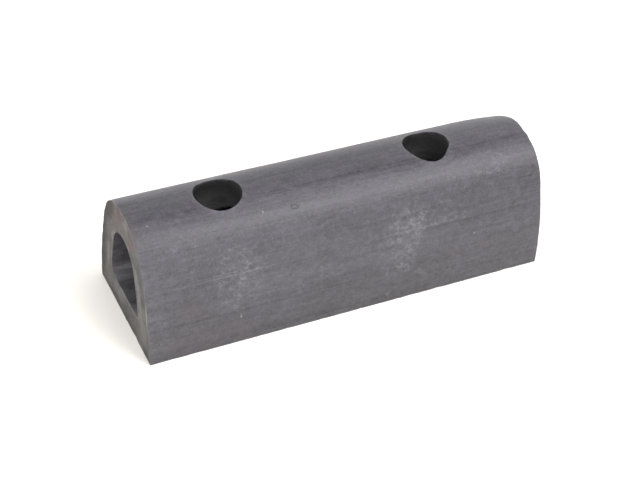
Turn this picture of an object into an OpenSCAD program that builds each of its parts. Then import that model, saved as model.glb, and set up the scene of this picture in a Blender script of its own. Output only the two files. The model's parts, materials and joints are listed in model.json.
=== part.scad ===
// Hollow rubber bump block, cut from an extruded D-shaped section, with its two hold-down bolts.
// +X runs along the length, +Y across it and +Z up. The origin is the middle of the underside.
// The block is drawn standing on the ground with its bolts dropped into their holes, not screwed down.

/* [Rubber body] */
// Length that the section is cut to (12 in)
body_length = 304.8; // [240:0.1:900]
// Width across the base (4 in)
base_width = 101.6; // [99:0.1:108]
// Height from the base to the crown
body_height = 93; // [92:0.1:97]
// Radius of the slightly bowed sides, which leave the base upright
side_radius = 200; // [180:1:230]
// Radius of the two shoulders
shoulder_radius = 37; // [30:0.5:38]
// Radius of the nearly flat crown between the shoulders
crown_radius = 73; // [60:1:90]

/* [Cavity] */
// Thickness of the rubber under the cavity
floor_thickness = 22; // [18:0.5:26]
// Width of the cavity at its floor
cavity_width = 53.4; // [48:0.1:60]
// Height of the cavity
cavity_height = 49.6; // [46:0.1:52]
// Radius of the cavity's arched top
arch_radius = 21.6; // [18:0.1:23]
// Radius in the cavity's two lower corners
corner_radius = 3; // [1:0.5:5]

/* [Holes] */
// Distance between the two bolt centres
hole_spacing = 160; // [100:1:180]
// Distance from the middle of the length to the middle of the pair of holes
hole_shift = -5; // [-12:0.5:12]
// Diameter of the holes through the crown, which let a washer and a socket down to the bolt
access_hole_d = 34; // [33:0.5:36]
// Diameter of the holes through the base
bolt_hole_d = 14; // [13.5:0.1:16]

/* [Bolts] */
// Outside diameter of the thread (1/2 in)
bolt_d = 12.7; // [12:0.1:12.7]
// Length under the head (2 in)
bolt_length = 50.8; // [44:0.1:58]
// Length of the thread
thread_length = 31.8; // [22:0.1:36]
// Distance between threads (13 to the inch)
thread_pitch = 1.954; // [1.5:0.001:2.2]
// Width of the head across its flats (3/4 in)
head_flats = 19.05; // [18:0.01:20]
// Thickness of the head
head_height = 7.9; // [7:0.1:9]

/* [Washers] */
// Outside diameter of the flat washers (1-1/4 in)
flat_washer_d = 31.75; // [27:0.01:32]
// Thickness of the flat washers
flat_washer_t = 2; // [1.5:0.1:3]
// Hole in the flat washers
flat_washer_hole_d = 13.5; // [13.5:0.1:14.5]
// Outside diameter of the spring washers
spring_washer_d = 22; // [20:0.1:23]
// Thickness of the spring washers
spring_washer_t = 3.2; // [2.5:0.1:4]
// Hole in the spring washers
spring_washer_hole_d = 13.2; // [13.1:0.1:13.8]

/* [Hidden] */
$fn = 96;
RUBBER = "#706e75";
ZINC = "#b9bdc1";

// The sides, shoulders and crown are circles that touch each other from inside.
side_centre = [base_width / 2 - side_radius, 0];
crown_centre = [0, body_height - crown_radius];
shoulder_centre = touching_centre(side_centre, side_radius, crown_centre, crown_radius, shoulder_radius);
side_angle = direction(side_centre, shoulder_centre);
crown_angle = direction(crown_centre, shoulder_centre);

// The cavity's sides leave its floor upright too, and touch the arch from outside it.
arch_centre = [0, floor_thickness + cavity_height - arch_radius];
arch_rise = cavity_height - arch_radius;
cavity_half = cavity_width / 2;
// The square of the tangent length from the cavity's floor corner to the arch's circle
flank_tangent_sq = pow(cavity_half, 2) + pow(arch_rise, 2) - pow(arch_radius, 2);
flank_radius = flank_tangent_sq / (2 * (cavity_half - arch_radius));
flank_centre = [cavity_half - flank_radius, floor_thickness];
flank_angle = direction(flank_centre, arch_centre);
corner_angle = asin(corner_radius / (flank_radius - corner_radius));
corner_centre = flank_centre + polar(flank_radius - corner_radius, corner_angle);
arc_step = 3;
// How far a cut runs past the solid that it cuts
past = 1;

hole_xs = [hole_shift - hole_spacing / 2, hole_shift + hole_spacing / 2];
access_hole_foot = floor_thickness + cavity_height / 2;
spring_washer_z = floor_thickness + flat_washer_t;

thread_depth_share = 0.54;
thread_depth = thread_depth_share * thread_pitch;
thread_root_r = bolt_d / 2 - thread_depth;
thread_count = floor((thread_length - thread_pitch) / thread_pitch);
head_corner_r = head_flats / cos(30) / 2;
head_washer_face = 0.4;
head_washer_face_d = head_flats - 1;
head_bevel = 0.6 * (head_corner_r - head_flats / 2);
head_bevel_z = head_height - 2 * head_bevel;
head_top_r = head_flats / 2 - 0.3;

spring_washer_gap = 1.6;
spring_washer_slant = 25;

function polar(r, angle) = [r * cos(angle), r * sin(angle)];

function direction(from, to) = atan2(to[1] - from[1], to[0] - from[0]);

// Centre of a circle of radius r that touches circles (a, ra) and (b, rb) from inside, left of a to b
function touching_centre(a, ra, b, rb, r) =
    let (d = norm(b - a))
    let (along = (pow(ra - r, 2) - pow(rb - r, 2) + d * d) / (2 * d))
    let (across = sqrt(pow(ra - r, 2) - along * along))
    let (unit = (b - a) / d)
    a + along * unit + across * [-unit[1], unit[0]];

// Points on an arc, one every arc_step degrees or less; first = 1 leaves out the starting point
function arc(centre, r, from, to, first = 0) =
    let (steps = ceil(abs(to - from) / arc_step))
    [for (i = [first : steps]) centre + polar(r, from + (to - from) * i / steps)];

// A right half that ends at the top, with its mirror image after it, so that it runs back down the left
function with_mirror_image(half) =
    concat(half, [for (i = [len(half) - 2 : -1 : 0]) [-half[i][0], half[i][1]]]);

// The D-shaped outline, across and up
module outer_profile() {
    polygon(with_mirror_image(concat(
        arc(side_centre, side_radius, 0, side_angle),
        arc(shoulder_centre, shoulder_radius, side_angle, crown_angle, first = 1),
        arc(crown_centre, crown_radius, crown_angle, 90, first = 1))));
}

// The arched tunnel, with its two lower corners rounded
module cavity_profile() {
    polygon(with_mirror_image(concat(
        arc(corner_centre, corner_radius, -90, corner_angle),
        arc(flank_centre, flank_radius, corner_angle, flank_angle, first = 1),
        arc(arch_centre, arch_radius, flank_angle, 90, first = 1))));
}

// Runs a profile along X, centred on the middle of the block
module along_length(length) {
    rotate([90, 0, 90])
        linear_extrude(height = length, center = true)
            children();
}

module rubber_body() {
    color(RUBBER)
        difference() {
            along_length(body_length) outer_profile();
            along_length(body_length + 2 * past) cavity_profile();
            for (x = hole_xs) {
                translate([x, 0, access_hole_foot])
                    cylinder(d = access_hole_d, h = body_height);
                translate([x, 0, -past])
                    cylinder(d = bolt_hole_d, h = floor_thickness + 2 * past);
            }
        }
}

// Half section of the shank: a cone tip, V-shaped threads and a plain neck
module shank_section() {
    threads = [
        for (i = [0 : thread_count - 1], side = [0, 1])
            [side == 0 ? bolt_d / 2 : thread_root_r, (i + 0.5 + side / 2) * thread_pitch]
    ];
    top = (thread_count + 0.5) * thread_pitch;
    polygon(concat([[0, 0], [thread_root_r, 0]], threads,
                   [[bolt_d / 2, top], [bolt_d / 2, bolt_length], [0, bolt_length]]));
}

// Hexagon with its top corners bevelled, on a round washer face
module bolt_head() {
    cylinder(d = head_washer_face_d, h = head_washer_face);
    intersection() {
        translate([0, 0, head_washer_face])
            cylinder(r = head_corner_r, h = head_height - head_washer_face, $fn = 6);
        rotate_extrude()
            polygon([[0, 0], [head_corner_r + past, 0], [head_corner_r + past, head_bevel_z],
                     [head_corner_r, head_bevel_z], [head_top_r, head_height], [0, head_height]]);
    }
}

module fixing_bolt(x) {
    color(ZINC)
        translate([x, 0, 0]) {
            rotate_extrude() shank_section();
            translate([0, 0, bolt_length]) bolt_head();
        }
}

module flat_washer(x) {
    color(ZINC)
        translate([x, 0, floor_thickness])
            difference() {
                cylinder(d = flat_washer_d, h = flat_washer_t);
                translate([0, 0, -past]) cylinder(d = flat_washer_hole_d, h = flat_washer_t + 2 * past);
            }
}

module spring_washer(x) {
    color(ZINC)
        translate([x, 0, spring_washer_z])
            difference() {
                cylinder(d = spring_washer_d, h = spring_washer_t);
                translate([0, 0, -past])
                    cylinder(d = spring_washer_hole_d, h = spring_washer_t + 2 * past);
                translate([0, 0, spring_washer_t / 2])
                    rotate([0, spring_washer_slant, 0])
                        translate([-spring_washer_gap / 2, 0, -2 * spring_washer_t])
                            cube([spring_washer_gap, spring_washer_d, 4 * spring_washer_t]);
            }
}

module left_bolt() { fixing_bolt(hole_xs[0]); }
module left_spring_washer() { spring_washer(hole_xs[0]); }
module left_flat_washer() { flat_washer(hole_xs[0]); }
module right_bolt() { fixing_bolt(hole_xs[1]); }
module right_spring_washer() { spring_washer(hole_xs[1]); }
module right_flat_washer() { flat_washer(hole_xs[1]); }

rubber_body();
left_bolt();
left_spring_washer();
left_flat_washer();
right_bolt();
right_spring_washer();
right_flat_washer();
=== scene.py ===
"""Looks for the hollow rubber bump block and its fixings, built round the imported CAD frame.

Sizes are millimetres, which to_object() turns into metres. Only the camera and the studio are
in metres. +X runs along the block, +Y to its back and +Z up. A place on the extruded skin is
given as (x, s), where s is the distance walked from the crown down the front (s > 0) or the back.
"""
import json
import math
import bmesh
import bpy
import numpy as np
from mathutils import Matrix, Vector, noise


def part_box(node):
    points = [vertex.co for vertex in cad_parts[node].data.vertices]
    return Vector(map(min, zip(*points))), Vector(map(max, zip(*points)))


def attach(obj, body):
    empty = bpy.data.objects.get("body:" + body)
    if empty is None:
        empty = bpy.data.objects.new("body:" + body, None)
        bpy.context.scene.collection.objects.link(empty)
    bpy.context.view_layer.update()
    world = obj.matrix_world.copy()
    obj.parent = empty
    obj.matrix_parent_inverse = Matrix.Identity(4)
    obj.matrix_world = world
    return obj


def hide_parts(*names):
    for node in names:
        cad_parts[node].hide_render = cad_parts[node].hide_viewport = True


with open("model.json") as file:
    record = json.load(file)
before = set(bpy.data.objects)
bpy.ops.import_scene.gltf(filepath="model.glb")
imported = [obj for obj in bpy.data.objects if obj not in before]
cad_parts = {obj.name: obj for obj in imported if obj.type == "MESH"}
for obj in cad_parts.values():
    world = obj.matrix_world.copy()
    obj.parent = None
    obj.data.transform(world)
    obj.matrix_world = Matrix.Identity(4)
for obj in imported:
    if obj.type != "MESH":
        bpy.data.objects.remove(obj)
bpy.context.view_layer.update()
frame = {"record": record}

MM = 0.001


def add_object(name, data):
    """A new object in the scene."""
    made = bpy.data.objects.new(name, data)
    bpy.context.scene.collection.objects.link(made)
    return made


# ---- camera

CAMERA_AT = (-0.3809, -0.7122, 0.6874)
CAMERA_YAW = 27.889
CAMERA_PITCH = 39.327
CAMERA_ROLL = 4.553
CAMERA_LENS = 81.04


def make_camera():
    """The camera stands where the photograph was taken from."""
    data = bpy.data.cameras.new("camera")
    data.lens = CAMERA_LENS
    data.sensor_width = 36.0
    data.clip_end = 100.0
    camera = add_object("camera", data)
    yaw, pitch, roll = (math.radians(a) for a in (CAMERA_YAW, CAMERA_PITCH, CAMERA_ROLL))
    forward = Vector((math.sin(yaw) * math.cos(pitch), math.cos(yaw) * math.cos(pitch), -math.sin(pitch)))
    right = Vector((math.cos(yaw), -math.sin(yaw), 0.0))
    up = right.cross(forward)
    right_rolled = math.cos(roll) * right + math.sin(roll) * up
    up_rolled = math.cos(roll) * up - math.sin(roll) * right
    turn = Matrix((right_rolled, up_rolled, -forward)).transposed().to_4x4()
    camera.matrix_world = Matrix.Translation(CAMERA_AT) @ turn
    bpy.context.scene.camera = camera


make_camera()


# ---- sizes

SIDE_R = 200.0
SHOULDER_R = 37.0
CROWN_R = 73.0
FLOOR_T = 22.0
CAVITY_W = 53.4
CAVITY_H = 49.6
ARCH_R = 21.6
CORNER_R = 3.0
BOLT_HOLE_R = 7.0

PATCH_HALF = 26.0
PATCH_HALF_INSIDE = 24.5
BASE_PATCH_HALF = 12.0
EDGE_ROUND = 0.35
# How deep nicks are, how far from an edge they reach, and how far into the rubber an edge counts
NICK_DEPTH = 0.42
NICK_REACH = 2.4
EDGE_DEPTH = 3.0

# Lines that the extrusion die left along the skin: place s, depth (minus stands proud), half
# width, and the stretch of x where each is clear
DIE_LINES = (
    (11.5, 0.16, 0.9, -60, 150),
    (-4, 0.10, 0.9, -65, 35),
    (63, -0.10, 0.8, -125, -50),
    (63, -0.10, 0.8, 20, 88),
    (65.2, 0.06, 0.8, 10, 125),
    (92, 0.08, 0.9, -150, 150),
    (-58, 0.12, 0.9, -150, 150),
    (-97, 0.10, 0.9, -150, 150),
)

# How each drilled rim strays from a circle: direction in degrees, amount, spread in degrees.
# The drill pushed the soft rubber aside, so the rims are flattened in places.
LEFT_RIM = ((45, 0.4, 25), (90, -0.75, 25), (-115, 0.4, 40), (160, -0.3, 30))
RIGHT_RIM = ((35, 1.4, 38), (-100, 0.45, 25), (-44, -1.3, 20), (-160, -0.7, 28))


def box_mm(node):
    low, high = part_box(node)
    return np.array(low) / MM, np.array(high) / MM


def socket_holes():
    """(x, radius) of the holes through the crown, left one first, from the record's bores."""
    bores = [m for m in frame["record"]["mounts"] if m["kind"] == "bore"]
    return sorted((m["pos_m"][0] / MM, m["dims"]["r_mm"]) for m in bores)


_, (HALF_LENGTH, HALF_WIDTH, HEIGHT) = box_mm("rubber_body")
HOLES = socket_holes()


# ---- outlines

class Outline:
    """The right half of a symmetric outline: arcs that follow each other from the apex down."""

    def __init__(self, arcs):
        self.arcs = []
        start = 0.0
        for centre, radius, first, last in arcs:
            first, last = math.radians(first), math.radians(last)
            self.arcs.append((start, np.array(centre), radius, first, last))
            start += (first - last) * radius
        self.length = start

    def point(self, s):
        """(y, z) at distance s from the apex."""
        walked = min(abs(s), self.length)
        start, centre, radius, first, _ = [a for a in self.arcs if a[0] <= walked + 1e-9][-1]
        angle = first - (walked - start) / radius
        y = centre[0] + radius * math.cos(angle)
        z = centre[1] + radius * math.sin(angle)
        return (-y if s > 0 else y), z

    def height(self, y):
        """z of the outline above y, near the apex."""
        reach = abs(y)
        for _, centre, radius, _, last in self.arcs:
            if reach <= centre[0] + radius * math.cos(last) + 1e-9:
                return centre[1] + math.sqrt(radius**2 - (reach - centre[0]) ** 2)
        raise ValueError("y lies beyond the outline")

    def locate(self, y, z):
        """For arrays of points: s of the nearest place, the distance to it, and its normal."""
        reach = np.abs(y)
        best = np.full(len(y), 1e9)
        s, ny, nz = np.zeros(len(y)), np.zeros(len(y)), np.zeros(len(y))
        for start, centre, radius, first, last in self.arcs:
            angle = np.clip(np.arctan2(z - centre[1], reach - centre[0]), last, first)
            cy, cz = np.cos(angle), np.sin(angle)
            away = np.hypot(reach - centre[0] - radius * cy, z - centre[1] - radius * cz)
            nearer = away < best
            best[nearer] = away[nearer]
            s[nearer] = (start + (first - angle) * radius)[nearer]
            ny[nearer] = cy[nearer]
            nz[nearer] = cz[nearer]
        side = np.where(y < 0, -1.0, 1.0)
        return -side * s, best, ny * side, nz


def direction(start, end):
    return math.degrees(math.atan2(end[1] - start[1], end[0] - start[0]))


def touching_centre(a, radius_a, b, radius_b, radius):
    """Centre of a circle that touches circles a and b from inside."""
    gap = b - a
    d = np.linalg.norm(gap)
    along = ((radius_a - radius) ** 2 - (radius_b - radius) ** 2 + d * d) / (2 * d)
    across = math.sqrt((radius_a - radius) ** 2 - along**2)
    unit = gap / d
    return a + along * unit + across * np.array([-unit[1], unit[0]])


def outer_outline():
    side = np.array([HALF_WIDTH - SIDE_R, 0.0])
    crown = np.array([0.0, HEIGHT - CROWN_R])
    shoulder = touching_centre(side, SIDE_R, crown, CROWN_R, SHOULDER_R)
    low, high = direction(side, shoulder), direction(crown, shoulder)
    return Outline([(crown, CROWN_R, 90, high), (shoulder, SHOULDER_R, high, low), (side, SIDE_R, low, 0)])


def cavity_outline():
    arch = np.array([0.0, FLOOR_T + CAVITY_H - ARCH_R])
    rise = CAVITY_H - ARCH_R
    half = CAVITY_W / 2
    flank_r = (half**2 + rise**2 - ARCH_R**2) / (2 * (half - ARCH_R))
    flank = np.array([half - flank_r, FLOOR_T])
    high = direction(flank, arch)
    low = math.degrees(math.asin(CORNER_R / (flank_r - CORNER_R)))
    reach = math.radians(low)
    corner = flank + (flank_r - CORNER_R) * np.array([math.cos(reach), math.sin(reach)])
    return Outline([(arch, ARCH_R, 90, high), (flank, flank_r, high, low), (corner, CORNER_R, low, -90)])


OUTER = outer_outline()
CAVITY = cavity_outline()


# ---- mesh helpers

class Shell:
    """Points and faces of one closed mesh. Each face has a zone, which picks its material."""

    def __init__(self):
        self.points = []
        self.faces = []
        self.zones = []

    def point(self, x, y, z):
        self.points.append((x, y, z))
        return len(self.points) - 1

    def face(self, corners, zone):
        self.faces.append(corners)
        self.zones.append(zone)

    def rows(self, rows, zone):
        """Faces between each closed row of points and the next."""
        for a, b in zip(rows, rows[1:]):
            for k in range(len(a)):
                m = (k + 1) % len(a)
                self.face((a[k], a[m], b[m], b[k]), zone)

    def cap(self, row, middle, zone):
        """A fan of faces from a row to one point in its middle."""
        for k in range(len(row)):
            self.face((row[k], row[(k + 1) % len(row)], middle), zone)

    def rounded(self, width, segments):
        """A smooth bmesh with every border between two zones rounded off, unless width is 0."""
        bm = bmesh.new()
        corners = [bm.verts.new(p) for p in self.points]
        for ids, zone in zip(self.faces, self.zones):
            face = bm.faces.new([corners[i] for i in ids])
            face.material_index = zone
        bmesh.ops.recalc_face_normals(bm, faces=bm.faces)
        if width:
            crisp = [e for e in bm.edges if len({f.material_index for f in e.link_faces}) == 2]
            bmesh.ops.bevel(
                bm, geom=crisp, offset=width, segments=segments, profile=0.5,
                affect="EDGES", clamp_overlap=True, loop_slide=True,
            )
        for face in bm.faces:
            face.smooth = True
        return bm


def to_object(name, bm, materials, attributes):
    """A Blender object in metres from a bmesh in millimetres, with named point attributes."""
    mesh = bpy.data.meshes.new(name)
    bmesh.ops.scale(bm, vec=(MM, MM, MM), verts=bm.verts)
    bmesh.ops.recalc_face_normals(bm, faces=bm.faces)
    bm.to_mesh(mesh)
    bm.free()
    for material in materials:
        mesh.materials.append(material)
    for label, values in attributes.items():
        kind = "FLOAT" if values.ndim == 1 else "FLOAT_VECTOR"
        layer = mesh.attributes.new(label, kind, "POINT")
        layer.data.foreach_set("value" if kind == "FLOAT" else "vector", values.astype(np.float32).ravel())
    return add_object(name, mesh)


def stations(low, high, pitch, lines=()):
    """Places from low to high about pitch apart, with three close together at each line."""
    marks = [low]
    for at, half in sorted(lines):
        marks += [m for m in (at - half, at, at + half) if m - marks[-1] > 0.05]
    marks.append(high)
    places = [low]
    for a, b in zip(marks, marks[1:]):
        steps = max(1, math.ceil((b - a) / pitch - 1e-6))
        places += list(np.linspace(a, b, steps + 1)[1:])
    return places


def ripple(points, scale, seed):
    """Smooth noise from -1 to 1 at each point. scale is the size of its bumps along each axis."""
    offset = Vector((seed * 13.7, seed * 7.3, seed * 3.1))
    sizes = np.broadcast_to(np.asarray(scale, float), (3,))
    return np.array([noise.noise(Vector(p) + offset) for p in points / sizes])


def fade(distance, reach):
    """1 at distance 0, falling smoothly to 0 at reach."""
    t = np.clip(1 - distance / reach, 0, 1)
    return t * t * (3 - 2 * t)


# ---- rubber block mesh

SKIN, SAWN, DRILLED, HOLLOW, UNDERSIDE = range(5)
BASE_CELLS = (13, 12, 13)
LENGTH_CELLS = (1, 1, 15, 24, 40, 24, 18, 1, 1)
END_RINGS = (1.2, 3.6)
SIDE_PITCH = 2.6
CROWN_PITCH = 2.2


def skin_places():
    """s of each line of points from the front bottom edge over the crown to the back one.

    The second result has the numbers of cells in front of, across and behind the crown patch.
    """
    lines = [(line[0], line[2]) for line in DIE_LINES]
    ends = (-OUTER.length, -PATCH_HALF, PATCH_HALF, OUTER.length)
    spans = zip(ends, ends[1:], (SIDE_PITCH, CROWN_PITCH, SIDE_PITCH))
    back, crown, front = (
        stations(low, high, pitch, [line for line in lines if low < line[0] < high])
        for low, high, pitch in spans
    )
    places = (back + crown[1:] + front[1:])[::-1]
    return places, (len(front) - 1, len(crown) - 1, len(back) - 1)


def even(marks, cells):
    """Places through the marks, with so many equal cells between each two."""
    places = [marks[0]]
    for a, b, n in zip(marks, marks[1:], cells):
        places += list(np.linspace(a, b, n + 1)[1:])
    return places


def section_loops():
    """The outer and the inner loop of (y, z) points, matched one to one, and the patch spans."""
    places, cells = skin_places()
    inner = even((CAVITY.length, PATCH_HALF_INSIDE, -PATCH_HALF_INSIDE, -CAVITY.length), cells)
    outer_loop = [OUTER.point(s) for s in places]
    inner_loop = [CAVITY.point(s) for s in inner]
    floor_half = inner_loop[-1][0]
    marks = (BASE_PATCH_HALF, -BASE_PATCH_HALF)
    outer_loop += [(y, 0.0) for y in even((HALF_WIDTH, *marks, -HALF_WIDTH), BASE_CELLS)[1:-1]]
    inner_loop += [(y, FLOOR_T) for y in even((floor_half, *marks, -floor_half), BASE_CELLS)[1:-1]]
    crown_span = (cells[0], cells[0] + cells[1])
    base_start = sum(cells) + BASE_CELLS[0]
    return outer_loop, inner_loop, crown_span, (base_start, base_start + BASE_CELLS[1]), sum(cells)


def length_places():
    """x of each ring of points, and the span of rings across each hole's patch."""
    (left, _), (right, _) = HOLES
    near, far = END_RINGS
    marks = [-HALF_LENGTH, -HALF_LENGTH + near, -HALF_LENGTH + far, left - PATCH_HALF, left + PATCH_HALF]
    marks += [right - PATCH_HALF, right + PATCH_HALF, HALF_LENGTH - far, HALF_LENGTH - near, HALF_LENGTH]
    left_start, left_end, right_start, right_end = (sum(LENGTH_CELLS[:n]) for n in (3, 4, 5, 6))
    return even(marks, LENGTH_CELLS), ((left_start, left_end), (right_start, right_end))


def loop_grid(shell, xs, loop, patches):
    """Points of a loop run along xs, as [ring][place], with -1 inside each patch."""
    ids = np.full((len(xs), len(loop)), -1)
    for i, x in enumerate(xs):
        for j, (y, z) in enumerate(loop):
            if not any(a < i < b and c < j < d for (a, b), (c, d) in patches):
                ids[i, j] = shell.point(x, y, z)
    return ids


def grid_faces(shell, ids, side_cells, side_zone, base_zone):
    rings, places = ids.shape
    for i in range(rings - 1):
        for j in range(places):
            k = (j + 1) % places
            corners = (ids[i, j], ids[i + 1, j], ids[i + 1, k], ids[i, k])
            if min(corners) >= 0:
                shell.face(tuple(int(c) for c in corners), side_zone if j < side_cells else base_zone)


def patch_border(ids, rings, places):
    """The grid's points round a patch, in order."""
    (a, b), (c, d) = rings, places
    path = [(i, c) for i in range(a, b)] + [(b, j) for j in range(c, d)]
    path += [(i, d) for i in range(b, a, -1)] + [(a, j) for j in range(d, c, -1)]
    return [int(ids[i, j]) for i, j in path]


def rim_radius(radius, lobes, angle):
    """Radius of a drilled rim in one direction."""
    for at, amount, spread in lobes:
        off = (math.degrees(angle) - at + 180) % 360 - 180
        radius += amount * math.exp(-((off / spread) ** 2))
    return radius


# Shares of the way from the square border of a patch to its round hole
PATCH_SHARES = (0.14, 0.29, 0.44, 0.58, 0.7, 0.8, 0.88, 0.94, 1.0)
WALL_SHARES = (0.04, 0.1, 0.2, 0.32, 0.44, 0.56, 0.68, 0.8, 0.9, 0.96)
FACE_SHARES = (0.03, 0.09, 0.18, 0.29, 0.4, 0.5, 0.6, 0.71, 0.82, 0.91, 0.97)


def close_on_hole(shell, border, angles, x, radii, height, zone):
    """Fills a patch with rings of faces and returns the ring of points round its hole."""
    rows = [border]
    for share in PATCH_SHARES:
        row = []
        for k, angle, radius in zip(border, angles, radii):
            px, py, _ = shell.points[k]
            px += (x + radius * math.cos(angle) - px) * share
            py += (radius * math.sin(angle) - py) * share
            row.append(shell.point(px, py, height(py)))
        rows.append(row)
    shell.rows(rows, zone)
    return rows[-1]


def drill(shell, grids, rings, places, x, radius, lobes, heights, zones):
    """One hole from the first grid's surface to the second's, through both patches."""
    upper, lower = (patch_border(ids, rings, places) for ids in grids)
    angles = [math.atan2(shell.points[k][1], shell.points[k][0] - x) for k in upper]
    wide = [rim_radius(radius, lobes, a) for a in angles]
    plain = [radius] * len(angles)
    top = close_on_hole(shell, upper, angles, x, wide, heights[0], zones[0])
    bottom = close_on_hole(shell, lower, angles, x, plain, heights[1], zones[1])
    rows = [top]
    for share in WALL_SHARES:
        row = []
        for k, m, angle, rim in zip(top, bottom, angles, wide):
            reach = radius + (rim - radius) * (1 - share) ** 2
            z = shell.points[k][2] * (1 - share) + shell.points[m][2] * share
            row.append(shell.point(x + reach * math.cos(angle), reach * math.sin(angle), z))
        rows.append(row)
    shell.rows(rows + [bottom], DRILLED)


def end_face(shell, outer_ring, inner_ring):
    """The sawn ring between the outline and the cavity."""
    rows = [outer_ring]
    for share in FACE_SHARES:
        row = []
        for k, m in zip(outer_ring, inner_ring):
            a, b = shell.points[k], shell.points[m]
            row.append(shell.point(*(p + (q - p) * share for p, q in zip(a, b))))
        rows.append(row)
    shell.rows(rows + [inner_ring], SAWN)


def block_shell():
    shell = Shell()
    outer_loop, inner_loop, crown_span, base_span, side_cells = section_loops()
    xs, hole_spans = length_places()
    base_rings = [(a + 6, b - 6) for a, b in hole_spans]
    patches = [(span, crown_span) for span in hole_spans] + [(span, base_span) for span in base_rings]
    outer = loop_grid(shell, xs, outer_loop, patches)
    inner = loop_grid(shell, xs, inner_loop, patches)
    grid_faces(shell, outer, side_cells, SKIN, UNDERSIDE)
    grid_faces(shell, inner, side_cells, HOLLOW, HOLLOW)
    rims = (LEFT_RIM, RIGHT_RIM)
    for (x, radius), lobes, crown_rings, foot_rings in zip(HOLES, rims, hole_spans, base_rings):
        drill(shell, (outer, inner), crown_rings, crown_span, x, radius, lobes,
              (OUTER.height, CAVITY.height), (SKIN, HOLLOW))
        drill(shell, (outer, inner), foot_rings, base_span, x, BOLT_HOLE_R, (),
              (lambda y: 0.0, lambda y: FLOOR_T), (UNDERSIDE, HOLLOW))
    for ring in (0, -1):
        end_face(shell, [int(k) for k in outer[ring]], [int(k) for k in inner[ring]])
    return shell


def hole_distance(points):
    """Distance of each point from the nearest crown hole's wall, in plan."""
    gaps = [np.hypot(points[:, 0] - x, points[:, 1]) - radius for x, radius in HOLES]
    return np.min(np.abs(gaps), axis=0)


# The back corner of the crown at the right end, which the saw pulled down
PULL_DEPTH = 3.0
PULL_LENGTH = 40.0


def pulled_corner(x, z, s, off_skin):
    """How far each point near that corner sits too low.

    It starts 3 mm behind the crest, and dies away down the back and into the rubber.
    """
    near_end = np.clip(1 - (HALF_LENGTH - x) / PULL_LENGTH, 0, 1) ** 2
    behind = np.clip((-3 - s) / 20, 0, 1) * np.clip((z - 45) / 35, 0, 1)
    return PULL_DEPTH * near_end * behind * fade(off_skin, 14.0)


def shape_block(points):
    """Moves the exact points as extruding, sawing, drilling and use have: lines, waves, nicks."""
    x, y, z = points.T
    s, off_skin, ny, nz = OUTER.locate(y, z)
    on_side = np.where(z > 0.6, 1.0, 0.0)
    skin = fade(off_skin, EDGE_DEPTH)
    end_gap = HALF_LENGTH - np.abs(x)
    rim_gap = hole_distance(points)
    sheet = np.column_stack([x, s, np.zeros_like(x)])
    outward = 0.16 * ripple(sheet, (95.0, 26.0, 1.0), 1) + 0.09 * ripple(sheet, (30.0, 11.0, 1.0), 2)
    clear = (1 - fade(rim_gap, 12.0)) * (1 - fade(end_gap, 4.0))
    for at, depth, half, x_from, x_to in DIE_LINES:
        inside = np.clip((x - x_from) / 12, 0, 1) * np.clip((x_to - x) / 12, 0, 1)
        in_patch = (np.abs(s) < PATCH_HALF - 0.01) & (rim_gap < 14)
        groove = np.exp(-((s - at) / (0.62 * half)) ** 2) * np.where(in_patch, 0.0, 1.0)
        outward -= depth * groove * (0.35 + 0.65 * inside) * clear
    outward += 0.22 * fade(rim_gap, 3.0) * (0.6 + 0.8 * ripple(points, 5.0, 3)) * np.where(z > 75, 1, 0)
    moved = points.copy()
    moved[:, 1] += ny * outward * skin * on_side
    moved[:, 2] += nz * outward * skin * on_side - pulled_corner(x, z, s, off_skin)
    across = np.column_stack([np.sign(x) * 50, y, z])
    sawn = 0.22 * ripple(across, 24.0, 4) + 0.10 * ripple(across, (1.0, 30.0, 3.2), 5) - 0.12
    moved[:, 0] += np.sign(x) * sawn * fade(end_gap, 1.8)
    return moved, sheet, skin, end_gap, rim_gap


def nick_edges(moved, points, skin, end_gap, rim_gap):
    """Takes small losses off moved along the edges. Returns how worn each point is, 0 to 1."""
    x, y, z = points.T
    _, off_hollow, _, _ = CAVITY.locate(y, z)
    floor_gap = np.where(np.abs(y) < CAVITY_W / 2, np.abs(z - FLOOR_T), 1e3)
    hollow = fade(np.minimum(off_hollow, floor_gap), EDGE_DEPTH)
    near_end, near_rim, near_foot = (fade(gap, NICK_REACH) for gap in (end_gap, rim_gap, z))
    end_edge = near_end * np.maximum.reduce([skin, hollow, fade(z, EDGE_DEPTH)])
    rim_edge = near_rim * np.maximum(skin, hollow) * np.where(z > 40, 1, 0)
    foot_edge = near_foot * fade(HALF_WIDTH - np.abs(y), NICK_REACH)
    edge = np.maximum.reduce([end_edge, rim_edge, foot_edge])
    loss = np.clip(ripple(points, 6.5, 6) - 0.12, 0, 1) * 1.1 + 0.25 * np.abs(ripple(points, 2.6, 7))
    upward = near_foot - skin * fade(75 - z, 40)
    inward = np.column_stack([-np.sign(x) * near_end, -np.sign(y) * skin * 0.7, upward])
    moved += inward * (NICK_DEPTH * loss * edge)[:, None]
    return np.clip(edge * (0.75 + 0.9 * loss), 0, 1)


def make_block(materials):
    bm = block_shell().rounded(EDGE_ROUND, 3)
    bm.verts.ensure_lookup_table()
    points = np.array([v.co for v in bm.verts])
    moved, sheet, skin, end_gap, rim_gap = shape_block(points)
    wear = nick_edges(moved, points, skin, end_gap, rim_gap)
    for vertex, place in zip(bm.verts, moved):
        vertex.co = place
    rim = fade(rim_gap, 6.0) * np.where(points[:, 2] > 60, 1.0, 0.0)
    attributes = {"sheet": sheet, "wear": wear, "rim": rim}
    block = to_object("rubber_block", bm, materials, attributes)
    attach(block, "bump_block")
    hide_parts("rubber_body")


# ---- bolts and washers meshes

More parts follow.
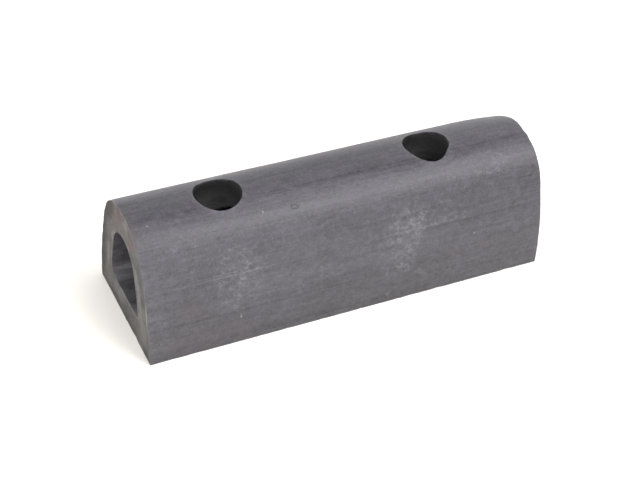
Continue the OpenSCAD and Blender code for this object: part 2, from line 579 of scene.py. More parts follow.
BOLT_DIAMETER = 12.7
FLAT_WASHER_HOLE = 13.5
SPRING_WASHER_HOLE = 13.2
THREAD_PITCH = 1.954
THREAD_LENGTH = 31.8
THREAD_SHARE = 0.54
HEAD_H = 7.9
HEAD_FLATS = 19.05
COS_30 = math.cos(math.radians(30))
WASHER_FACE = 0.4
HEX_ROUND = 0.35
TIP_BEVEL = 0.25
TOP_DIP = 0.22
# How far inside the thread's root its first turn starts
TIP_SINK = 0.9


def hexagon_columns():
    """(angle, radius) round a hexagon with rounded corners: four on each corner, six on each flat."""
    flat = HEAD_FLATS / 2
    inset = flat - HEX_ROUND
    places = []
    for corner in range(6):
        middle = math.radians(60 * corner + 30)
        cx = inset / COS_30 * math.cos(middle)
        cy = inset / COS_30 * math.sin(middle)
        for turn in (-30, -12, 12, 30):
            a = middle + math.radians(turn)
            places.append((cx + HEX_ROUND * math.cos(a), cy + HEX_ROUND * math.sin(a)))
        first = np.array(places[-1])
        face = math.radians(60 * corner + 60)
        along = np.array([-math.sin(face), math.cos(face)])
        span = -2 * float(first @ along)
        for share in (0.08, 0.25, 0.42, 0.58, 0.75, 0.92):
            places.append(tuple(first + along * span * share))
    return [(math.atan2(b, a), math.hypot(a, b)) for a, b in places]


def thread_radius(angle, z, major, root):
    """Radius of a helical V thread with a flat crest and a rounded root."""
    phase = (z / THREAD_PITCH - angle / math.tau) % 1.0
    rise = np.clip(abs(phase - 0.5) * 2.35 - 0.12, 0, 1)
    depth = 1 - (rise * rise * (3 - 2 * rise))
    deep = major - (major - root) * depth
    run_in = np.clip(z / THREAD_PITCH, 0, 1)
    run_out = np.clip((THREAD_LENGTH - z) / (1.6 * THREAD_PITCH), 0, 1)
    blended = major - (major - deep) * run_out
    return min(blended, root - TIP_SINK + (major - root + TIP_SINK) * run_in)


def bolt_shell(x, low_z, shank_length, major):
    """A hex bolt standing on its tip at low_z. Returns the shell and how deep each point is cut."""
    shell = Shell()
    columns = hexagon_columns()
    root = major - THREAD_SHARE * THREAD_PITCH
    depth = []

    def ring(z, radius):
        """A ring at z. Its radius is a number, or a function of the angle and the hexagon's radius."""
        row = []
        for angle, hexagon in columns:
            r = radius(angle, hexagon) if callable(radius) else radius
            row.append(shell.point(x + r * math.cos(angle), r * math.sin(angle), low_z + z))
            depth.append(np.clip((major - r) / (major - root), 0, 1) if z < shank_length else 0.0)
        return row

    rows = [ring(0.0, root - 1.5), ring(TIP_BEVEL, root - 0.95)]
    steps = int(THREAD_LENGTH / THREAD_PITCH * 9)
    for k in range(1, steps + 1):
        z = TIP_BEVEL + (THREAD_LENGTH - TIP_BEVEL) * k / steps
        rows.append(ring(z, lambda a, h, z=z: thread_radius(a, z, major, root)))
    for share in (0.2, 0.5, 0.8, 0.95):
        z = THREAD_LENGTH + (shank_length - THREAD_LENGTH) * share
        rows.append(ring(z, major - 0.02))
    for lift, out in ((0.75, 0.0), (0.35, 0.1), (0.12, 0.3), (0.0, 0.75)):
        rows.append(ring(shank_length - lift, major + out))
    face_r = (HEAD_FLATS - 1) / 2
    for rise, radius in (
        (0.0, face_r - 0.2), (0.1, face_r), (WASHER_FACE, face_r),
        (WASHER_FACE, lambda a, h: min(h - 0.35, h * 0.975)), (WASHER_FACE + 0.3, lambda a, h: h),
    ):
        rows.append(ring(shank_length + rise, radius))
    corner = HEAD_FLATS / 2 / COS_30
    for z in (2.2, 4.2, 5.6, 6.1, 6.5, 6.9, 7.25, 7.55, 7.75):
        limit = corner + (5.9 - z) * 1.35
        rows.append(ring(shank_length + z, lambda a, h, limit=limit: min(h, limit)))
    top = shank_length + HEAD_H
    rows.append(ring(top - 0.03, HEAD_FLATS / 2 - 0.55))
    rows.append(ring(top, HEAD_FLATS / 2 - 0.95))
    for share, dip in ((0.78, 0.0), (0.7, 0.12), (0.45, 0.2), (0.2, TOP_DIP)):
        rows.append(ring(top - dip, HEAD_FLATS / 2 * share))
    shell.rows(rows, 0)
    for row, z in ((rows[0], 0.0), (rows[-1], top - TOP_DIP)):
        middle = shell.point(x, 0.0, low_z + z)
        depth.append(0.0)
        shell.cap(row, middle, 0)
    return shell, np.array(depth)


def ring_profile(inner, outer, thickness, top_round, bottom_round):
    """(radius, z) points round the section of a punched ring, rolled over at its top edge."""
    points = []
    corners = (
        (outer, 0.0, bottom_round, -90), (outer, thickness, top_round, 0),
        (inner, thickness, top_round * 0.8, 90), (inner, 0.0, bottom_round, 180),
    )
    for r, z, round_r, first in corners:
        cr = r - round_r if r == outer else r + round_r
        cz = z + round_r if z == 0.0 else z - round_r
        for step in range(5):
            a = math.radians(first + 90 * step / 4)
            points.append((cr + round_r * math.cos(a), cz + round_r * math.sin(a)))
    return points


def flat_washer_shell(x, low, high, hole_r):
    """A flat punched washer, rolled over at its upper edges."""
    shell = Shell()
    outer_r = (high[0] - low[0]) / 2
    profile = ring_profile(hole_r, outer_r, high[2] - low[2], 0.45, 0.18)
    rows = []
    for r, z in profile:
        row = []
        for k in range(FLAT_COLUMNS):
            a = math.tau * k / FLAT_COLUMNS
            row.append(shell.point(x + r * math.cos(a), r * math.sin(a), low[2] + z))
        rows.append(row)
    rows.append(rows[0])
    shell.rows(rows, 0)
    return shell


FLAT_COLUMNS = 96
SPRING_COLUMNS = 88
SPLIT_GAP = 1.6
SPLIT_ROUND = 0.15
SPLIT_SLANT = 25.0
SPLIT_SPRING = 0.07


def spring_washer_shell(x, low, high, hole_r):
    """A ring of wire section with a slanted split, its two ends sprung slightly apart."""
    shell = Shell()
    thickness = high[2] - low[2]
    outer_r = (high[0] - low[0]) / 2
    profile = ring_profile(hole_r, outer_r, thickness - 2 * SPLIT_SPRING, 0.4, 0.4)
    rows = []
    for k in range(SPRING_COLUMNS + 1):
        share = k / SPRING_COLUMNS
        row = []
        for r, z in profile:
            half = SPLIT_GAP / 2 / math.cos(math.radians(SPLIT_SLANT)) / r
            lean = math.tan(math.radians(SPLIT_SLANT)) * (z - thickness / 2) / r
            start = math.pi / 2 + half - lean
            end = math.pi / 2 + math.tau - half - lean
            a = start + (end - start) * share
            lift = 2 * SPLIT_SPRING * (1 - share)
            row.append(shell.point(x + r * math.cos(a), r * math.sin(a), low[2] + z + lift))
        rows.append(row)
    shell.rows(rows, 0)
    for row in (rows[0], rows[-1]):
        middle = np.mean([shell.points[k] for k in row], axis=0)
        shell.cap(row, shell.point(*middle), 1)
    return shell


def put(name, bm, materials, attributes, body, node):
    """Makes the piece, and lets it stand for its CAD node."""
    piece = to_object(name, bm, materials, attributes)
    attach(piece, body)
    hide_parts(node)


def make_fixings(side, bolt_look, washer_look):
    low, high = box_mm(f"{side}_bolt")
    x = (low[0] + high[0]) / 2
    shell, depth = bolt_shell(x, low[2], high[2] - low[2] - HEAD_H, BOLT_DIAMETER / 2)
    put(f"{side}_hex_bolt", shell.rounded(0, 0), [bolt_look], {"depth": depth},
        f"{side}_bolt", f"{side}_bolt")
    flat = flat_washer_shell(x, *box_mm(f"{side}_flat_washer"), FLAT_WASHER_HOLE / 2)
    put(f"{side}_plain_washer", flat.rounded(0, 0), [washer_look], {},
        f"{side}_washers", f"{side}_flat_washer")
    spring = spring_washer_shell(x, *box_mm(f"{side}_spring_washer"), SPRING_WASHER_HOLE / 2)
    put(f"{side}_split_washer", spring.rounded(SPLIT_ROUND, 2), [washer_look, washer_look], {},
        f"{side}_washers", f"{side}_spring_washer")


# ---- materials

# Divides the third axis of a flat pattern, so that it has no say
FLATTEN = 1000.0


class Look:
    """A material being built. Each helper adds a node and returns its output socket."""

    def __init__(self, name):
        self.material = bpy.data.materials.new(name)
        self.material.use_nodes = True
        self.tree = self.material.node_tree
        self.shader = self.tree.nodes["Principled BSDF"]

    def feed(self, socket, value):
        if isinstance(value, bpy.types.NodeSocket):
            self.tree.links.new(value, socket)
        else:
            socket.default_value = value

    def node(self, kind, inputs, output=0, **settings):
        made = self.tree.nodes.new("ShaderNode" + kind)
        for key, value in settings.items():
            setattr(made, key, value)
        for key, value in inputs.items():
            self.feed(made.inputs[key], value)
        return made.outputs[output]

    def attribute(self, name, output="Fac"):
        return self.node("Attribute", {}, output, attribute_name=name)

    def place(self):
        """Place on the piece, in millimetres."""
        inside = self.node("TexCoord", {}, "Object")
        return self.node("VectorMath", {0: inside, "Scale": 1 / MM}, operation="SCALE")

    def stretch(self, vector, sizes):
        """The vector divided by the size of the pattern, or by its sizes along each axis."""
        divisor = sizes if isinstance(sizes, tuple) else (sizes,) * 3
        return self.node("VectorMath", {0: vector, 1: divisor}, operation="DIVIDE")

    def noise(self, vector, sizes, detail=3.0, roughness=0.5, shift=0.0):
        scaled = self.stretch(vector, sizes)
        moved = self.node("VectorMath", {0: scaled, 1: (shift, shift * 1.7, shift * 0.6)})
        inputs = {"Vector": moved, "Scale": 1.0, "Detail": detail, "Roughness": roughness}
        return self.node("TexNoise", inputs)

    def strayed(self, vector, size, reach, detail=2.0, middle=0.0):
        """The vector moved about: along each axis by reach times a noise, less its middle value."""
        inputs = {"Vector": self.stretch(vector, size), "Scale": 1.0, "Detail": detail}
        noise_colour = self.node("TexNoise", inputs, "Color")
        pull = self.node("VectorMath", {0: noise_colour, 1: (-middle, -middle, 0.0)})
        step = self.node("VectorMath", {0: pull, "Scale": reach}, operation="SCALE")
        return self.node("VectorMath", {0: step, 1: vector})

    def math(self, operation, a, b=0.0, clamp=False):
        return self.node("Math", {0: a, 1: b}, operation=operation, use_clamp=clamp)

    def times(self, a, b, clamp=False):
        return self.math("MULTIPLY", a, b, clamp)

    def off(self, value, middle):
        """How far the value is from the middle, either way."""
        return self.math("ABSOLUTE", self.math("SUBTRACT", value, middle))

    def band(self, value, low, high, to_low=0.0, to_high=1.0):
        """value from low..high to to_low..to_high, smoothly and held at both ends."""
        inputs = {"Value": value, "From Min": low, "From Max": high, "To Min": to_low, "To Max": to_high}
        return self.node("MapRange", inputs, interpolation_type="SMOOTHSTEP")

    def scale(self, value, low, high):
        """Noise from 0.3..0.7 to low..high."""
        return self.node("MapRange", {"Value": value, "From Min": 0.3, "From Max": 0.7,
                                      "To Min": low, "To Max": high})

    def turned(self, vector, degrees):
        """The vector turned about its third axis."""
        inputs = {"Vector": vector, "Rotation": (0.0, 0.0, math.radians(degrees))}
        return self.node("Mapping", inputs)

    def threads(self, vector, sizes, width, shift=0.0):
        """Thin curling lines: the places where a noise passes through its middle value."""
        level = self.noise(vector, sizes, 2.0, 0.5, shift)
        return self.band(self.off(level, 0.5), 0.0, width, 1.0, 0.0)

    def split(self, vector, axis):
        return self.node("SeparateXYZ", {0: vector}, axis)

    def blend(self, a, b, factor):
        return self.node("Mix", {0: factor, 6: a, 7: b}, 2, data_type="RGBA", clamp_factor=True)

    def tone(self, colour, amount):
        """colour made lighter or darker by a factor."""
        return self.node("VectorMath", {0: colour[:3], "Scale": amount}, operation="SCALE")

    def relief(self, *parts):
        """The normal once each pattern in turn has bumped it, to its height in millimetres."""
        normal = None
        for pattern, height in parts:
            inputs = {"Height": pattern, "Strength": 1.0, "Distance": height * MM}
            if normal is not None:
                inputs["Normal"] = normal
            normal = self.node("Bump", inputs)
        return normal

    def total(self, values):
        result = values[0]
        for value in values[1:]:
            result = self.math("ADD", result, value)
        return result

    def uneven(self, middle, *parts):
        """The middle value, varied by each noise by about its amount either way."""
        return self.total([self.scale(noise, -amount, amount) for noise, amount in parts] + [middle])

    def spot(self, vector, centre, sizes, turn=0.0):
        """1 at the centre, falling to 0 at an ellipse of these half sizes."""
        inputs = {"Vector": vector, "Location": (*centre, 0.0), "Scale": (*sizes, FLATTEN),
                  "Rotation": (0.0, 0.0, math.radians(turn))}
        inside = self.node("Mapping", inputs, vector_type="TEXTURE")
        return self.node("TexGradient", {"Vector": inside}, "Fac", gradient_type="SPHERICAL")

    def finish(self, colour, roughness, normal, **constants):
        self.feed(self.shader.inputs["Base Color"], colour)
        self.feed(self.shader.inputs["Roughness"], roughness)
        self.feed(self.shader.inputs["Normal"], normal)
        for key, value in constants.items():
            self.shader.inputs[key.replace("_", " ")].default_value = value
        return self.material


RUBBER = (0.0525, 0.0499, 0.0590, 1.0)
BLOOM = (0.121, 0.117, 0.131, 1.0)
CUT_RUBBER = (0.063, 0.0580, 0.0565, 1.0)
# Drilled wall colour: dark cut rubber, partly painted shade
DRILLED_RUBBER = (0.020, 0.0195, 0.020, 1.0)
HOLLOW_RUBBER = (0.047, 0.045, 0.050, 1.0)
# Pale dust, also the colour of a painted highlight on the sawn ends
DUST_AND_HIGHLIGHT = (0.21, 0.20, 0.185, 1.0)
HOLLOW_PALE = (0.165, 0.160, 0.168, 1.0)
MARK_BLACK = (0.014, 0.0135, 0.014, 1.0)
WARM_STAIN = (0.078, 0.052, 0.052, 1.0)
CUT_ROSY = (0.088, 0.060, 0.058, 1.0)
CUT_PALE = (0.112, 0.108, 0.100, 1.0)
CUT_RUBBED = (0.060, 0.0575, 0.066, 1.0)
CUT_DARK = (0.026, 0.0235, 0.024, 1.0)
BOLT_ZINC = (0.40, 0.41, 0.42, 1.0)
WASHER_ZINC = (0.36, 0.37, 0.38, 1.0)
ZINC_FILM = (0.38, 0.36, 0.29, 1.0)
GRIME = (0.10, 0.095, 0.085, 1.0)
PAPER = (0.94, 0.916, 0.86, 1.0)

# Cloudy and rubbed places on the skin: (x, s), half sizes, turn in degrees, strength
BLOOM_CLOUDS = (
    ((43, 73), (20, 36), 20, 0.75),
    ((48, 90), (9, 14), -10, 0.4),
    ((-80, 72), (23, 31), -8, 0.55),
    ((70, 62), (40, 12), 4, 0.25),
    ((-30, 84), (34, 12), 0, 0.22),
    ((58, 105), (9, 3.2), 38, 0.7),
    ((114, 33), (42, 11), 0, 0.5),
    ((-118, 40), (26, 12), 0, 0.22),
    ((8, -74), (36, 22), 10, 0.5),
    ((-100, -60), (26, 30), -14, 0.4),
)
# Small pale marks and small dark ones: (x, s), half sizes, turn, strength
PALE_MARKS = (
    ((-86, 97), (0.9, 1.9), -10, 0.5),
    ((27, 112), (1.9, 1.5), 0, 0.25),
    ((-61.5, 25), (0.7, 1.3), 0, 0.7),
    ((-140.5, 16), (1.3, 0.9), 20, 0.5),
    ((96, 78), (0.9, 1.2), 0, 0.45),
    ((60, -52), (1.4, 1), 20, 0.5),
)
DARK_MARKS = (
    ((11, 21.5), (0.8, 1.4), 0, 0.7),
    ((-6, -88), (4, 1.2), -25, 0.4),
)
WARM_MARKS = (
    ((-118, 85), (11, 11), 0, 0.3),
    ((-105, 112), (44, 12), 0, 0.35),
    ((-149, 24), (6, 22), 0, 0.8),
    ((-20, 74), (9, 2.5), 0, 0.35),
    ((85, 97), (9, 5), 0, 0.35),
    ((110, 95), (8, 5), 0, 0.35),
)
# A small closed nick in the skin: (x, s), half sizes, turn
NICK = ((-37.5, 27.5), (3.4, 1.9), 4)
# Bands along the skin painted lighter or darker: s, half width, amount. Painted light and shade among
# them:
# a painted reflection behind the crest at s -19, painted shade over the crown at s -4 and a painted
# highlight on the shoulder at s 19 and 28. Those at s 113 and -110 make the sides darker towards the
# bottom.
TONE_AND_LIGHT_BANDS = (
    (19, 13, 0.10), (76, 20, 0.07), (113, 12, -0.09), (-19, 9, 0.26),
    (-4, 11, -0.13), (28, 8, 0.04), (-60, 22, 0.06), (-110, 16, -0.08),
)
# Marks on both sawn ends, mirrored: (y on the left one, z), half sizes, turn, strength.
# The line is a painted highlight along the front edge of the left end, mirrored on the right, and has no
# strength.
SAWN_EDGE_HIGHLIGHT = ((-44.8, 38.5), (15, 1), 83.5)
SAWN_PALE = (
    ((-5, 86), (8, 4), -20, 0.8),
    ((-9, 69.5), (9, 3), -35, 0.85),
    ((-27, 55), (15, 5), 68, 0.9),
    ((-32, 36), (20, 5), 82, 0.9),
    ((-38, 19), (13, 8), 90, 0.55),
    ((33, 34), (17, 3.5), 96, 0.85),
    ((22.5, 58), (9, 2.2), 115, 0.8),
    ((12, 15), (20, 5), 0, 0.55),
)
SAWN_DARK = (
    ((45.5, 33), (46, 9), 98, 1),
    ((29, 77), (20, 9), 125, 1),
    ((40, 58), (14, 5), 112, 0.7),
    ((10, 4), (50, 4.5), 0, 0.55),
    ((-44, 3), (9, 4), 0, 0.7),
)
SAWN_ROSY = (
    ((12, 81), (14, 6.5), 90, 1),
    ((-15, 77), (11, 5), -35, 0.9),
)
SAWN_RUBBED = (
    ((-39.5, 61), (26, 6.5), 65, 1),
)


def spots(look, vector, marks):
    """The sum of several spots, each flat inside and soft at its edge, at its strength."""
    return look.total([
        look.band(look.spot(vector, centre, sizes, turn), 0, 0.6, 0, strength)
        for centre, sizes, turn, strength in marks
    ])


def line_mask(look, sheet, at, half, x_from, x_to):
    """1 along a die line, fading out past its clear stretch."""
    x = look.split(sheet, 0)
    line = look.band(look.off(look.split(sheet, 1), at), 0, half, 1, 0)
    reach = look.times(look.band(x, x_from - 10, x_from + 10, 0.2, 1),
                      look.band(x, x_to - 10, x_to + 10, 1, 0.2))
    return look.times(line, reach)


def rubber_skin():
    """Extruded skin: grey bloom over dark rubber, drawn out along the block, and rubbed, with bands of
    painted light and shade along it.
    """
    look = Look("rubber_skin")
    sheet = look.attribute("sheet", "Vector")
    place = look.place()
    wear = look.attribute("wear")
    rim = look.attribute("rim")
    strayed = look.strayed(sheet, 9, 9)

    clouds = look.noise(place, (34, 26, 26), 5, 0.58)
    mottle = look.noise(place, (5.5, 4, 4), 5, 0.66, 2)
    drawn = look.noise(sheet, (110, 2.2, 1), 5, 0.62, 3)
    wide_drawn = look.noise(sheet, (130, 7, 1), 3, 0.55, 29)
    fine_drawn = look.noise(sheet, (26, 0.8, 1), 4, 0.62, 5)
    brushed = look.noise(sheet, (0.9, 20, 1), 3, 0.6, 7)
    slanted = look.noise(look.turned(sheet, 24), (24, 1.6, 1), 4, 0.6, 8)
    grain = look.noise(place, 1.1, 4, 0.7)
    speckle = look.noise(place, (2.4, 1.9, 1.9), 3, 0.6, 27)

    shade = look.uneven(
        0.95, (clouds, 0.13), (mottle, 0.19), (drawn, 0.15), (wide_drawn, 0.13), (fine_drawn, 0.14),
        (brushed, 0.10), (slanted, 0.04), (grain, 0.26), (speckle, 0.16),
    )
    s = look.split(sheet, 1)
    # Bands of tone and of painted light: painted shade over the crown, a painted highlight on the
    # shoulder, a painted reflection behind the crest
    tone_and_light_bands = [look.band(look.off(s, at), 0, half, amount, 0) for at, half, amount in TONE_AND_LIGHT_BANDS]
    shade = look.total([shade, *tone_and_light_bands])
    broken = look.band(fine_drawn, 0.35, 0.6, 0.4, 1)
    dark_lines = look.total([
        look.times(line_mask(look, sheet, at, half * 1.1, x_from, x_to), depth * 3.4)
        for at, depth, half, x_from, x_to in DIE_LINES if depth > 0
    ])
    shade = look.math("SUBTRACT", shade, look.times(dark_lines, broken))
    colour = look.tone(RUBBER, shade)

    patchy = look.band(look.noise(strayed, (7, 5, 1), 4, 0.65, 9), 0.34, 0.66)
    cloudy = spots(look, strayed, BLOOM_CLOUDS)
    bloom = look.times(cloudy, patchy)
    curls = look.math("MAXIMUM", look.threads(sheet, (9, 5, 1), 0.045, 17),
                      look.threads(look.turned(sheet, -35), (12, 4, 1), 0.04, 21))
    hatched = look.times(curls, look.band(mottle, 0.45, 0.62))
    hatched = look.times(hatched, look.math("ADD", look.times(cloudy, 1.9), 0.3))
    light_lines = look.total([
        look.times(line_mask(look, sheet, at, half, x_from, x_to), 0.7)
        for at, depth, half, x_from, x_to in DIE_LINES if depth < 0
    ])
    scuffs = look.band(look.noise(sheet, (11, 0.5, 1), 5, 0.7, 11), 0.62, 0.78, 0, 0.6)
    specks = look.band(look.noise(place, 1.5, 1, 0.5, 13), 0.72, 0.79, 0, 0.7)
    rubbed = look.band(look.noise(place, 3, 3, 0.6, 15), 0.4, 0.62)
    worn = look.times(wear, rubbed)
    ringed = look.times(look.times(rim, rubbed), 0.45)
    pale = look.total([bloom, look.times(light_lines, broken), scuffs, specks, hatched,
                       look.times(worn, 0.5), ringed])
    colour = look.blend(colour, BLOOM, look.times(pale, 0.6, clamp=True))
    colour = look.blend(colour, DUST_AND_HIGHLIGHT, look.times(spots(look, sheet, PALE_MARKS), 1.1, clamp=True))
    pits = look.band(look.noise(place, 1.8, 1, 0.5, 19), 0.26, 0.20, 0, 0.6)
    nick = look.spot(look.strayed(sheet, 2.5, 2), *NICK)
    ring = look.times(look.band(nick, 0.02, 0.16), look.band(nick, 0.28, 0.5, 0.7, 0))
    dark = look.math("ADD", look.math("ADD", spots(look, sheet, DARK_MARKS), ring), pits, clamp=True)
    colour = look.blend(colour, MARK_BLACK, dark)
    warm = look.times(spots(look, strayed, WARM_MARKS), 0.5)
    colour = look.blend(colour, WARM_STAIN, warm)

    rough = look.total([look.scale(clouds, 0.41, 0.51), look.scale(brushed, -0.04, 0.05),
                        look.scale(mottle, -0.04, 0.04), look.times(pale, 0.10)])
    normal = look.relief((drawn, 0.14), (ring, -0.15), (fine_drawn, 0.07), (brushed, 0.05),
                         (mottle, 0.24), (grain, 0.05))
    return look.finish(colour, rough, normal, Specular_IOR_Level=0.5)


def rubber_sawn():
    """Sawn end: warm grey, mottled, with saw strokes across it and pale rubbed edges, and a painted
    highlight down one edge.
    """
    look = Look("rubber_sawn")
    place = look.place()
    wear = look.attribute("wear")
    mottle = look.noise(place, 7, 5, 0.65)
    blotch = look.noise(place, 22, 2, 0.5, 3)
    strokes = look.noise(place, (1, 26, 0.8), 4, 0.6, 5)
    crossed = look.noise(place, (1, 0.9, 30), 3, 0.6, 7)
    grain = look.noise(place, 1.2, 4, 0.7)
    shade = look.uneven(1, (mottle, 0.40), (blotch, 0.24), (strokes, 0.18), (crossed, 0.16), (grain, 0.36))
    colour = look.tone(CUT_RUBBER, shade)
    which_end = look.times(look.math("SIGN", look.split(place, 0)), -1)
    y = look.times(look.split(place, 1), which_end)
    across = look.node("CombineXYZ", {0: y, 1: look.split(place, 2)})
    strayed = look.strayed(across, 5, 7, 4, 0.5)
    colour = look.blend(colour, CUT_ROSY, spots(look, strayed, SAWN_ROSY))
    colour = look.blend(colour, CUT_PALE, spots(look, strayed, SAWN_PALE))
    colour = look.blend(colour, CUT_RUBBED, spots(look, strayed, SAWN_RUBBED))
    # Painted highlight along the front edge of the left end, mirrored on the right
    edge_highlight = look.band(look.spot(across, *SAWN_EDGE_HIGHLIGHT), 0, 0.5)
    colour = look.blend(colour, DUST_AND_HIGHLIGHT, edge_highlight)
    chalk = look.band(look.noise(place, 4, 4, 0.65, 11), 0.52, 0.72)
    edged = look.times(wear, look.band(mottle, 0.35, 0.6, 0.25, 0.9))
    lightened = look.math("MAXIMUM", look.times(chalk, 0.35), edged)
    colour = look.blend(colour, DUST_AND_HIGHLIGHT, look.times(lightened, 0.5))
    colour = look.blend(colour, CUT_DARK, spots(look, strayed, SAWN_DARK))
    rough = look.scale(mottle, 0.68, 0.82)
    normal = look.relief((mottle, 0.35), (strokes, 0.12), (crossed, 0.06), (grain, 0.07))
    return look.finish(colour, rough, normal, Specular_IOR_Level=0.35)


def rubber_drilled():
    """Wall of a drilled hole: dark fresh rubber with rings from the drill. Its colour is partly painted
    shade, darkest near the rim, and painted light makes it lighter low down.
    """
    look = Look("rubber_drilled")
    place = look.place()
    rings = look.noise(place, (40, 40, 0.9), 4, 0.6)
    torn = look.noise(place, (5, 5, 2.4), 4, 0.65, 3)
    shade = look.uneven(1, (rings, 0.18), (torn, 0.2))
    # Painted light low in the hole, up to five times lighter, and painted shade near the rim, at 0.8
    deep = look.band(look.split(place, 2), HEIGHT - 29, HEIGHT - 6, 5, 0.8)
    colour = look.tone(DRILLED_RUBBER, look.times(shade, deep))
    edged = look.times(look.attribute("wear"), look.band(torn, 0.4, 0.6, 0.05, 0.3))
    colour = look.blend(colour, BLOOM, edged)
    normal = look.relief((torn, 0.35), (rings, 0.16))
    return look.finish(colour, look.scale(torn, 0.66, 0.82), normal, Specular_IOR_Level=0.25)


def rubber_hollow():
    """Wall of the cavity: extruded like the skin, but hardly rubbed, and paler in patches low down towards
    the sides.
    """
    look = Look("rubber_hollow")
    place = look.place()
    drawn = look.noise(place, (120, 2.2, 2.2), 4, 0.6)
    clouds = look.noise(place, (16, 9, 9), 5, 0.7, 3)
    rough = look.noise(place, (7, 3, 3), 4, 0.65, 9)
    colour = look.tone(HOLLOW_RUBBER, look.uneven(1, (drawn, 0.04), (clouds, 0.45), (rough, 0.5)))
    low = look.band(look.split(place, 2), FLOOR_T + 1, FLOOR_T + 8, 1, 0.06)
    corner = look.band(look.math("ABSOLUTE", look.split(place, 1)), 9, 21, 0.1, 1)
    patchy = look.band(look.noise(place, (16, 4, 4), 4, 0.65, 5), 0.38, 0.6, 0.6, 1)
    lightened = look.times(look.times(low, corner), patchy)
    colour = look.blend(colour, HOLLOW_PALE, lightened)
    normal = look.relief((drawn, 0.10), (rough, 0.4))
    return look.finish(colour, look.scale(clouds, 0.5, 0.66), normal, Specular_IOR_Level=0.45)


def rubber_underside():
    """Flat underside: the same skin, scuffed and dusty where it stands."""
    look = Look("rubber_underside")
    place = look.place()
    drawn = look.noise(place, (120, 2, 1), 4, 0.6)
    clouds = look.noise(place, (26, 18, 10), 5, 0.6, 3)
    colour = look.tone(RUBBER, look.uneven(1, (drawn, 0.10), (clouds, 0.14)))
    scuffed = look.band(look.noise(place, (6, 9, 4), 5, 0.7, 5), 0.5, 0.72)
    worn = look.math("MAXIMUM", look.times(scuffed, 0.5), look.attribute("wear"))
    colour = look.blend(colour, DUST_AND_HIGHLIGHT, look.times(worn, 0.45))
    normal = look.relief((drawn, 0.10), (scuffed, 0.08))
    return look.finish(colour, look.scale(clouds, 0.6, 0.75), normal, Specular_IOR_Level=0.4)


def zinc(name, tint, grime):
    """Bright zinc plate on steel: faint bands of tint, fine grain, grime and dull rubbed places."""
    look = Look(name)
    place = look.place()
    cloudy = look.noise(place, 4, 4, 0.6)
    grain = look.noise(place, 0.5, 3, 0.6, 3)
    turned = look.noise(place, (14, 14, 0.35), 3, 0.6, 5)
    colour = look.tone(tint, look.uneven(1, (cloudy, 0.08), (grain, 0.05)))
    colour = look.blend(colour, ZINC_FILM, look.band(cloudy, 0.5, 0.72, 0, 0.45))
    if grime is not None:
        dirty = look.times(look.attribute(grime), look.band(grain, 0.3, 0.6, 0.5, 1))
        colour = look.blend(colour, GRIME, look.times(dirty, 0.75))
    rough = look.total([look.scale(cloudy, 0.26, 0.42), look.scale(grain, -0.03, 0.05)])
    return look.finish(colour, rough, look.relief((grain, 0.02), (turned, 0.02)), Metallic=1)


def studio_floor():
    """Plain pale paper, very faintly uneven."""
    look = Look("studio_floor")
    place = look.place()
    soft = look.noise(place, 900, 2)
    colour = look.tone(PAPER, look.scale(soft, 0.985, 1.015))
    normal = look.relief((look.noise(place, 2, 2), 0.02))
    return look.finish(colour, look.scale(soft, 0.85, 0.9), normal, Specular_IOR_Level=0.1)


# ---- studio

FLOOR_HALF = 12.0
AIM = Vector((0.0, 0.0, 0.045))

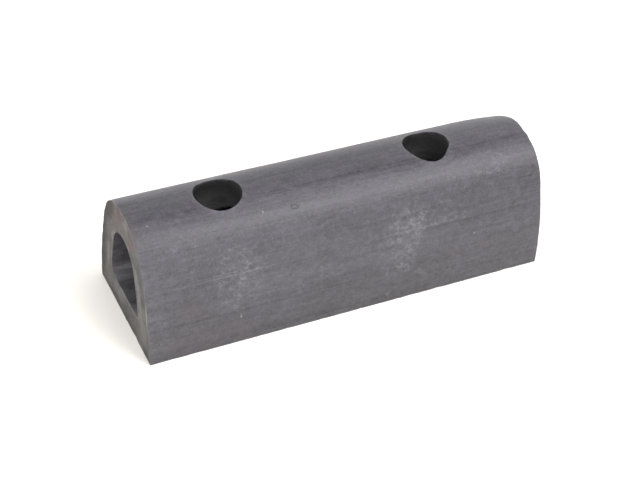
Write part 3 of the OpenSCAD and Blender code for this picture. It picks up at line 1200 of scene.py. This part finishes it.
# Soft boxes: direction from the block, width and height in metres, watts
SOFT_BOX_DISTANCE = 2.2
SOFT_BOXES = (
    ("key", (0.36, -0.43, 0.82), 1.2, 1.2, 38),
    ("top", (0, 0, 1), 1.4, 1.4, 4),
    ("left_front", (-0.70, -0.65, 0.35), 1.4, 1, 20),
    ("left_back", (-0.70, 0.62, 0.40), 1.4, 1, 15),
    ("right_back", (0.70, 0.64, 0.30), 1.4, 0.8, 5),
    ("front", (0, -0.95, 0.30), 1.6, 1, 11),
    ("back", (0.10, 0.80, 0.60), 1.6, 1, 4),
)
SKY = (0.98, 0.98, 1.0, 1.0)
SKY_ABOVE = 0.65
SKY_AT_HORIZON = 1.45
# Sine of the height above the horizon where the brighter band starts to fade, and where it ends
SKY_BAND = (0.06, 0.42)


def make_floor():
    mesh = bpy.data.meshes.new("floor")
    h = FLOOR_HALF
    mesh.from_pydata([(-h, -h, 0), (h, -h, 0), (h, h, 0), (-h, h, 0)], [], [(0, 1, 2, 3)])
    mesh.materials.append(studio_floor())
    add_object("floor", mesh)


def make_soft_box(name, towards, width, height, watts):
    data = bpy.data.lights.new(name, "AREA")
    data.shape = "RECTANGLE"
    data.size = width
    data.size_y = height
    data.energy = watts
    light = add_object(name, data)
    away = Vector(towards).normalized()
    light.location = AIM + away * SOFT_BOX_DISTANCE
    light.rotation_mode = "QUATERNION"
    light.rotation_quaternion = (-away).to_track_quat("-Z", "Y")


def make_sky():
    """An even pale sky, brighter low down, as in a room with white walls."""
    world = bpy.data.worlds.new("sky")
    world.use_nodes = True
    tree = world.node_tree
    background = tree.nodes["Background"]
    background.inputs["Color"].default_value = SKY
    towards = tree.nodes.new("ShaderNodeTexCoord")
    parts = tree.nodes.new("ShaderNodeSeparateXYZ")
    band = tree.nodes.new("ShaderNodeMapRange")
    band.interpolation_type = "SMOOTHSTEP"
    settings = zip(("From Min", "From Max", "To Min", "To Max"), (*SKY_BAND, SKY_AT_HORIZON, SKY_ABOVE))
    for label, value in settings:
        band.inputs[label].default_value = value
    tree.links.new(towards.outputs["Generated"], parts.inputs[0])
    tree.links.new(parts.outputs["Z"], band.inputs["Value"])
    tree.links.new(band.outputs[0], background.inputs["Strength"])
    bpy.context.scene.world = world


make_floor()
for box in SOFT_BOXES:
    make_soft_box(*box)
make_sky()
bpy.context.scene.view_settings.view_transform = "Standard"


# ---- the object

make_block([rubber_skin(), rubber_sawn(), rubber_drilled(), rubber_hollow(), rubber_underside()])
bolt_zinc = zinc("bolt_zinc", BOLT_ZINC, "depth")
washer_zinc = zinc("washer_zinc", WASHER_ZINC, None)
for side in ("left", "right"):
    make_fixings(side, bolt_zinc, washer_zinc)
